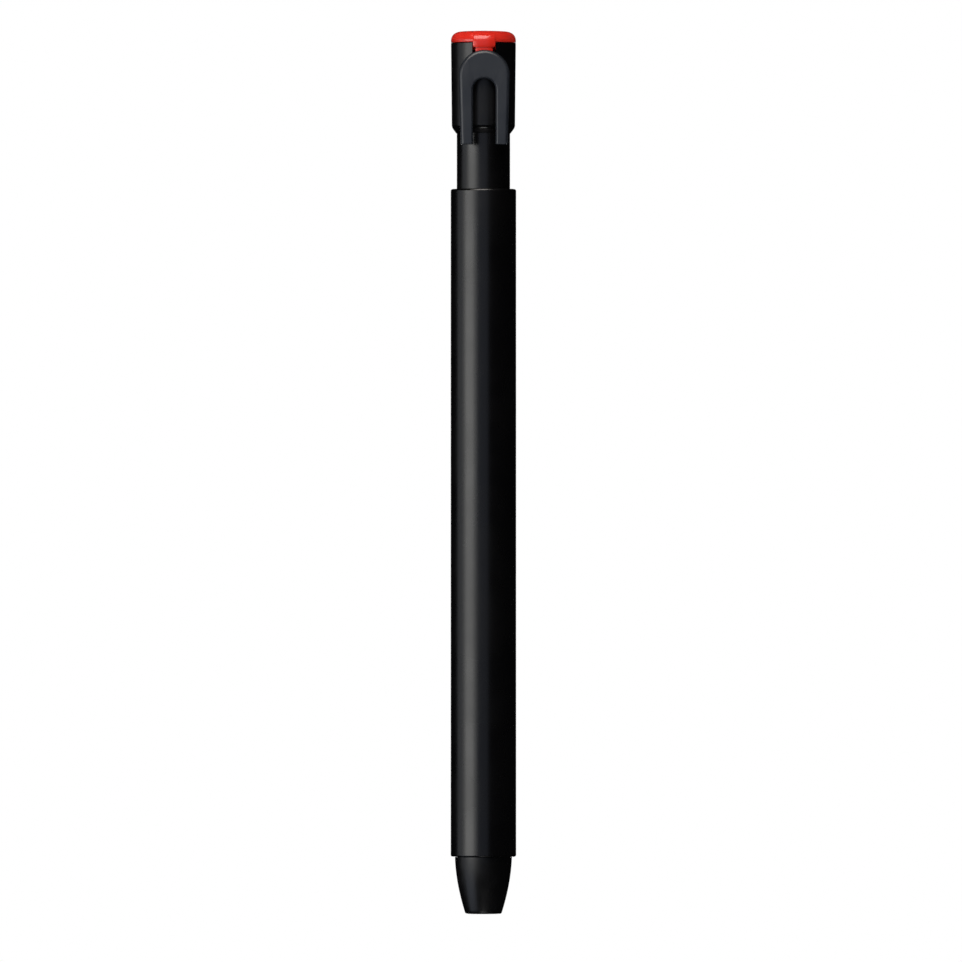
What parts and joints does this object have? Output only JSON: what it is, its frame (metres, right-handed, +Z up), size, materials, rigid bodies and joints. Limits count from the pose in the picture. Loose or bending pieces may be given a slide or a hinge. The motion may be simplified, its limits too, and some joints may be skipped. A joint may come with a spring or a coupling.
{
  "type": "push-button pen eraser",
  "caption": "Slim black pen-shaped eraser: tapered nose, sprung push head with forked pocket clip and red pull-out plug, and a split chuck that feeds a white eraser stick.",
  "frame": {"origin": "centre of the eraser stick's working face, level with the mouth of the nose cone, on the pen's axis", "axes": "+Z up along the pen's axis from the nose to the end plug, -Y out through the clip, +X to the right as seen from the clip's side"},
  "size_m": [0.01, 0.0118, 0.1349],
  "materials": {
    "barrel_black": "moulded black ABS, semi-gloss",
    "nose_black": "moulded black ABS, satin",
    "neck_black": "moulded black ABS, semi-gloss, polished by sliding",
    "head_black": "moulded black ABS, semi-gloss",
    "clip_black": "moulded black polycarbonate, satin",
    "plug_red": "moulded red ABS, glossy",
    "eraser_vinyl": "soft white vinyl, matt",
    "chuck_acetal": "natural acetal, satin",
    "ring_brass": "turned brass",
    "sleeve_grey": "moulded grey ABS, satin",
    "spring_steel": "drawn stainless spring wire",
    "feed_milky": "milky polypropylene",
    "keeper_rubber": "moulded grey silicone rubber"
  },
  "bodies": {
    "barrel": {"barrel": "barrel_black", "nose_cone": "nose_black", "keeper_ring": "keeper_rubber", "chuck_sleeve": "sleeve_grey", "return_spring": "spring_steel"},
    "push_unit": {"push_tube": "neck_black", "head_shell": "head_black", "feed_tube": "feed_milky", "chuck": "chuck_acetal"},
    "clutch_ring": {"clutch_ring": "ring_brass"},
    "eraser_stick": {"eraser_stick": "eraser_vinyl"},
    "clip": {"clip": "clip_black"},
    "end_plug": {"end_plug": "plug_red"}
  },
  "joints": [
    {"name": "push_press", "type": "slide", "parent": "barrel", "child": "push_unit", "axis": [0, 0, -1], "range_m": [0, 0.005], "stiffness_N_per_m": 450, "springref_m": -0.005, "deforming": ["return_spring"]},
    {"name": "ring_travel", "type": "slide", "parent": "barrel", "child": "clutch_ring", "axis": [0, 0, -1], "range_m": [0, 0.002]},
    {"name": "eraser_feed", "type": "slide", "parent": "barrel", "child": "eraser_stick", "axis": [0, 0, -1], "range_m": [0, 0.04]},
    {"name": "clip_flex", "type": "hinge", "parent": "push_unit", "child": "clip", "pos_m": [0, -0.0045, 0.1296], "axis": [-1, 0, 0], "range_deg": [0, 6], "stiffness_Nm_per_rad": 0.35},
    {"name": "plug_pull", "type": "slide", "parent": "push_unit", "child": "end_plug", "axis": [0, 0, 1], "range_m": [0, 0.016]}
  ],
  "couplings": [
    {"joint": "ring_travel", "follows": "push_press", "ratio": 0.4}
  ]
}
